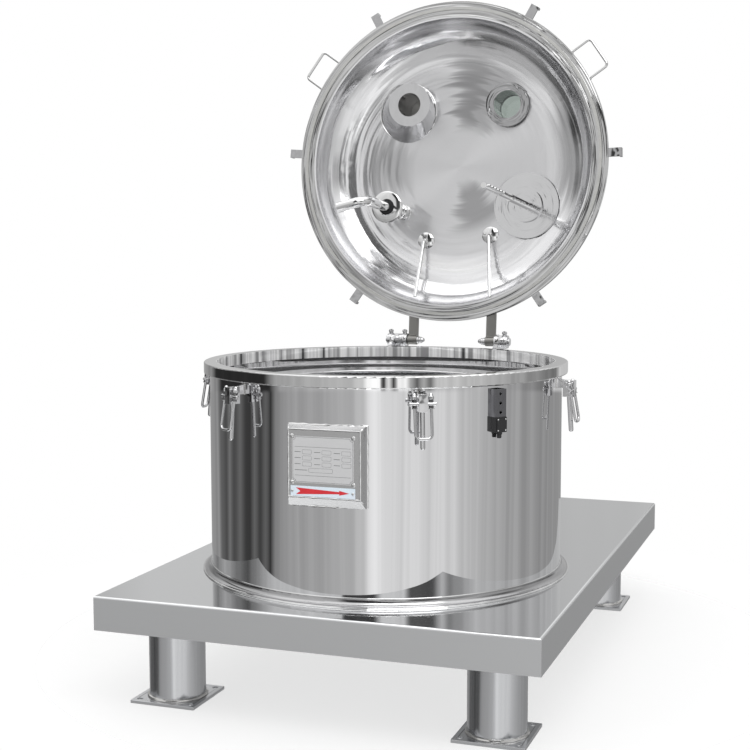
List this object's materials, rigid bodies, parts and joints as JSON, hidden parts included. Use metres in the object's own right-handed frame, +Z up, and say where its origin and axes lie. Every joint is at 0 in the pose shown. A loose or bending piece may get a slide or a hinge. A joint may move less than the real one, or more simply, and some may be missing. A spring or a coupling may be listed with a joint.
{
  "type": "basket centrifuge",
  "caption": "Basket centrifuge on a legged base: upright drum with a spinning basket, a hinged dished lid with feed, wash and sight fittings, and toggle latches round its rim.",
  "frame": {"origin": "on the floor under the middle of the base", "axes": "+Z up, -Y to the front where the plate box is, +X to the right seen from the front"},
  "size_m": [1.395, 2.088, 2.3321],
  "materials": {
    "mirror_steel": "mirror-polished stainless steel",
    "satin_steel": "satin stainless steel",
    "brushed_steel": "spun and brushed stainless steel",
    "rubber": "black silicone gasket",
    "black_plastic": "black moulded plastic",
    "glass": "clear sight glass"
  },
  "bodies": {
    "base": {"base_tray": "satin_steel", "base_underside": "satin_steel", "legs": "mirror_steel", "foot_plates": "satin_steel", "drum_casing": "mirror_steel", "casing_floor": "satin_steel", "drum_rim": "mirror_steel", "drum_foot_ring": "mirror_steel", "bearing_housing": "satin_steel", "latch_lugs": "satin_steel", "hinge_brackets": "satin_steel", "hinge_pins": "brushed_steel", "plate_box": "satin_steel", "switch_bracket": "satin_steel", "lid_switch": "black_plastic", "motor_cover": "mirror_steel", "drain_pipe": "brushed_steel"},
    "basket": {"basket_wall": "brushed_steel", "basket_hoops": "brushed_steel", "basket_lip": "brushed_steel", "basket_floor": "brushed_steel", "basket_hub": "brushed_steel", "spindle": "brushed_steel"},
    "lid": {"lid_dish": "brushed_steel", "lid_flange": "brushed_steel", "lid_gasket": "rubber", "lid_hooks": "brushed_steel", "lid_handles": "brushed_steel", "hinge_arms": "satin_steel", "loading_port": "brushed_steel", "sight_glass_body": "brushed_steel", "sight_glass_ring": "brushed_steel", "sight_glass_pane": "glass", "feed_neck": "brushed_steel", "feed_pipe": "brushed_steel", "wash_neck": "brushed_steel", "wash_pipe": "brushed_steel", "rinse_tubes": "brushed_steel"},
    "latch_1_lever": {"lever_1": "satin_steel"},
    "latch_1_bail": {"bail_1": "mirror_steel"},
    "latch_2_lever": {"lever_2": "satin_steel"},
    "latch_2_bail": {"bail_2": "mirror_steel"},
    "latch_3_lever": {"lever_3": "satin_steel"},
    "latch_3_bail": {"bail_3": "mirror_steel"},
    "latch_4_lever": {"lever_4": "satin_steel"},
    "latch_4_bail": {"bail_4": "mirror_steel"},
    "latch_5_lever": {"lever_5": "satin_steel"},
    "latch_5_bail": {"bail_5": "mirror_steel"},
    "latch_6_lever": {"lever_6": "satin_steel"},
    "latch_6_bail": {"bail_6": "mirror_steel"}
  },
  "joints": [
    {"name": "lid_hinge", "type": "hinge", "parent": "base", "child": "lid", "pos_m": [0, 0.344, 1.063], "axis": [1, 0, 0], "range_deg": [0, 95]},
    {"name": "basket_spin", "type": "hinge", "parent": "base", "child": "basket", "pos_m": [0, -0.329, 0.42], "axis": [0, 0, 1], "continuous": true},
    {"name": "lever_1_pivot", "type": "hinge", "parent": "base", "child": "latch_1_lever", "pos_m": [-0.35332, 0.1756, 0.985], "axis": [-0.8192, -0.5736, 0], "range_deg": [-100, 0]},
    {"name": "bail_1_pivot", "type": "hinge", "parent": "latch_1_lever", "child": "latch_1_bail", "pos_m": [-0.3625, 0.1887, 0.969], "axis": [0.8192, 0.5736, 0], "range_deg": [0, 170]},
    {"name": "lever_2_pivot", "type": "hinge", "parent": "base", "child": "latch_2_lever", "pos_m": [-0.6145, -0.37197, 0.985], "axis": [0.0698, -0.9976, 0], "range_deg": [-100, 0]},
    {"name": "bail_2_pivot", "type": "hinge", "parent": "latch_2_lever", "child": "latch_2_bail", "pos_m": [-0.63046, -0.37309, 0.969], "axis": [-0.0698, 0.9976, 0], "range_deg": [0, 170]},
    {"name": "lever_3_pivot", "type": "hinge", "parent": "base", "child": "latch_3_lever", "pos_m": [-0.29864, -0.86777, 0.985], "axis": [0.8746, -0.4848, 0], "range_deg": [-100, 0]},
    {"name": "bail_3_pivot", "type": "hinge", "parent": "latch_3_lever", "child": "latch_3_bail", "pos_m": [-0.3064, -0.88176, 0.969], "axis": [-0.8746, 0.4848, 0], "range_deg": [0, 170]},
    {"name": "lever_4_pivot", "type": "hinge", "parent": "base", "child": "latch_4_lever", "pos_m": [0.29864, -0.86777, 0.985], "axis": [0.8746, 0.4848, 0], "range_deg": [-100, 0]},
    {"name": "bail_4_pivot", "type": "hinge", "parent": "latch_4_lever", "child": "latch_4_bail", "pos_m": [0.3064, -0.88176, 0.969], "axis": [-0.8746, -0.4848, 0], "range_deg": [0, 170]},
    {"name": "lever_5_pivot", "type": "hinge", "parent": "base", "child": "latch_5_lever", "pos_m": [0.61562, -0.3505, 0.985], "axis": [0.0349, 0.9994, 0], "range_deg": [-100, 0]},
    {"name": "bail_5_pivot", "type": "hinge", "parent": "latch_5_lever", "child": "latch_5_bail", "pos_m": [0.63162, -0.35106, 0.969], "axis": [-0.0349, -0.9994, 0], "range_deg": [0, 170]},
    {"name": "lever_6_pivot", "type": "hinge", "parent": "base", "child": "latch_6_lever", "pos_m": [0.35332, 0.1756, 0.985], "axis": [-0.8192, 0.5736, 0], "range_deg": [-100, 0]},
    {"name": "bail_6_pivot", "type": "hinge", "parent": "latch_6_lever", "child": "latch_6_bail", "pos_m": [0.3625, 0.1887, 0.969], "axis": [0.8192, -0.5736, 0], "range_deg": [0, 170]}
  ]
}
